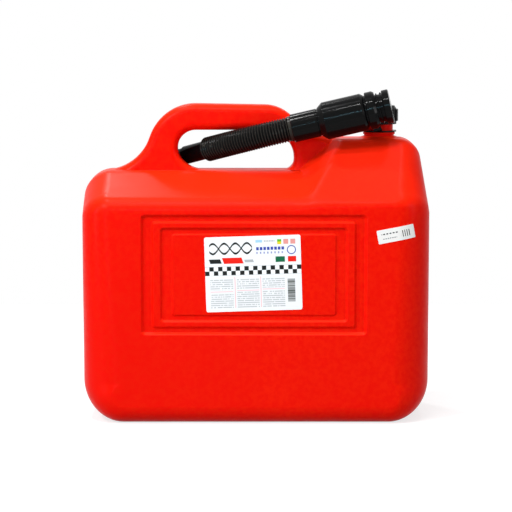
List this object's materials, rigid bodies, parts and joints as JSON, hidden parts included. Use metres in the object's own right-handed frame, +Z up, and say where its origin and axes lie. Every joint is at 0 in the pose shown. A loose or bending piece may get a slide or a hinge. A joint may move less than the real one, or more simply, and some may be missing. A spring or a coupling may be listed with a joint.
{
  "type": "fuel can with pouring spout",
  "caption": "Plastic fuel can with a moulded top handle, screw-capped neck, stepped side panels and a flexible bellows pouring spout stowed through the handle.",
  "frame": {"origin": "centre of the can's base, on the surface that it stands on", "axes": "+X along the can towards the filler neck, +Y through its thickness away from the side that the spout starts on, +Z up"},
  "size_m": [0.34, 0.1502, 0.3256],
  "materials": {
    "shell_red": "semi-gloss blow-moulded polyethylene",
    "spout_black": "glossy moulded",
    "cap_black": "satin moulded",
    "seal": "matt",
    "label_paper": "printed film",
    "sticker_paper": "printed film"
  },
  "bodies": {
    "can": {"can_body": "shell_red", "front_label": "label_paper", "side_sticker": "sticker_paper", "cap_tether": "cap_black"},
    "cap_disc": {"cap_liner": "seal"},
    "cap": {"screw_cap": "cap_black"},
    "spout": {"spout_adapter": "spout_black", "spout_sleeve": "spout_black", "spout_bellows": "spout_black", "spout_gasket": "seal"},
    "nozzle": {"spout_nozzle": "spout_black"},
    "nut": {"spout_ring_nut": "spout_black"},
    "plug": {"storage_plug": "spout_black"}
  },
  "joints": [
    {"name": "cap_lift", "type": "slide", "parent": "can", "child": "cap_disc", "axis": [0, 0, 1], "range_m": [0, 0.0071], "deforming": ["cap_tether"]},
    {"name": "cap_turn", "type": "hinge", "parent": "cap_disc", "child": "cap", "pos_m": [0.1222, 0, 0.3], "axis": [0, 0, 1], "range_deg": [0, 630]},
    {"name": "spout_pull", "type": "slide", "parent": "can", "child": "spout", "axis": [0.7313, -0.6402, 0.2351], "range_m": [0, 0.2]},
    {"name": "nozzle_bend", "type": "hinge", "parent": "spout", "child": "nozzle", "pos_m": [-0.01412, -0.02931, 0.27487], "axis": [0.2218, -0.1027, -0.9697], "range_deg": [0, 30], "deforming": ["spout_bellows"]},
    {"name": "nut_turn", "type": "hinge", "parent": "spout", "child": "nut", "pos_m": [0.11371, -0.03937, 0.30519], "axis": [-0.9702, 0.0764, -0.23], "range_deg": [0, 450]},
    {"name": "plug_slide", "type": "slide", "parent": "spout", "child": "plug", "axis": [0.9702, -0.0764, 0.23], "range_m": [0, 0.0051]}
  ],
  "couplings": [
    {"joint": "cap_lift", "follows": "cap_turn", "m_per_rad": 0.00063662},
    {"joint": "plug_slide", "follows": "nut_turn", "m_per_rad": 0.00063662}
  ]
}
